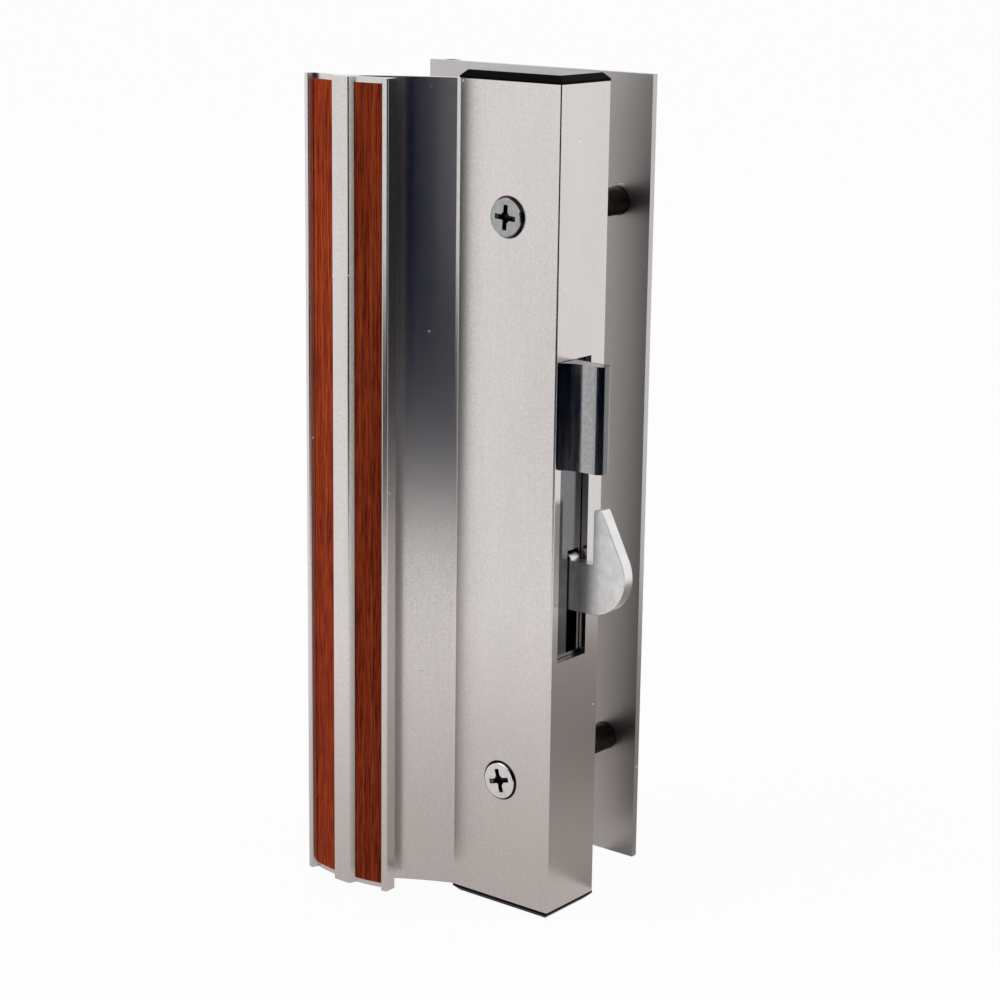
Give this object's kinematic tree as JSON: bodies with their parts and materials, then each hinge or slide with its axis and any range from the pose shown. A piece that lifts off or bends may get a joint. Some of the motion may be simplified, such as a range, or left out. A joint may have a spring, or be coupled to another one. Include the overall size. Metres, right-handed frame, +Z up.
{
  "type": "sliding patio door handle",
  "caption": "Clamp-on sliding patio door handle: aluminium latch housing and wood-strip grip, thumb slide that swings an upward hook latch, and an outside clamp plate.",
  "frame": {"origin": "on the housing's door plane, midway between the two mounting screws", "axes": "+X from the grip towards the latch side, +Y into the door, +Z up"},
  "size_m": [0.0812, 0.0592, 0.1854],
  "materials": {
    "anodised_aluminium": "satin clear anodised, fine grain along its length",
    "plate_aluminium": "satin clear anodised",
    "wood_grain": "red-brown wood grain along its length",
    "black_plastic": "moulded, semi-gloss",
    "screw_plating": "bright plated",
    "dark_steel": "dark oiled",
    "slide_plating": "plated",
    "zinc": "bright zinc plated",
    "case_steel": "zinc plated"
  },
  "bodies": {
    "handle": {"handle_body": "anodised_aluminium", "clamp_plate": "plate_aluminium", "left_grip_insert": "wood_grain", "right_grip_insert": "wood_grain", "top_end_cap": "black_plastic", "bottom_end_cap": "black_plastic", "mounting_screws": "screw_plating", "clamp_posts": "dark_steel", "latch_case": "case_steel", "hook_pivot_pin": "case_steel", "hook_washer": "case_steel", "hook_retaining_clip": "dark_steel", "hook_spring": "dark_steel"},
    "slide": {"thumb_slide": "slide_plating"},
    "hook": {"latch_hook": "zinc"}
  },
  "joints": [
    {"name": "thumb_slide_travel", "type": "slide", "parent": "handle", "child": "slide", "axis": [0, 0, 1], "range_m": [-0.008, 0]},
    {"name": "hook_pivot", "type": "hinge", "parent": "handle", "child": "hook", "pos_m": [-0.004, -0.0077, -0.0171], "axis": [0, 1, 0], "range_deg": [0, 28.1], "stiffness_Nm_per_rad": 0.2, "springref_deg": -17.19, "deforming": ["hook_spring"]}
  ],
  "couplings": [
    {"joint": "hook_pivot", "follows": "thumb_slide_travel", "rad_per_m": -61.086}
  ]
}
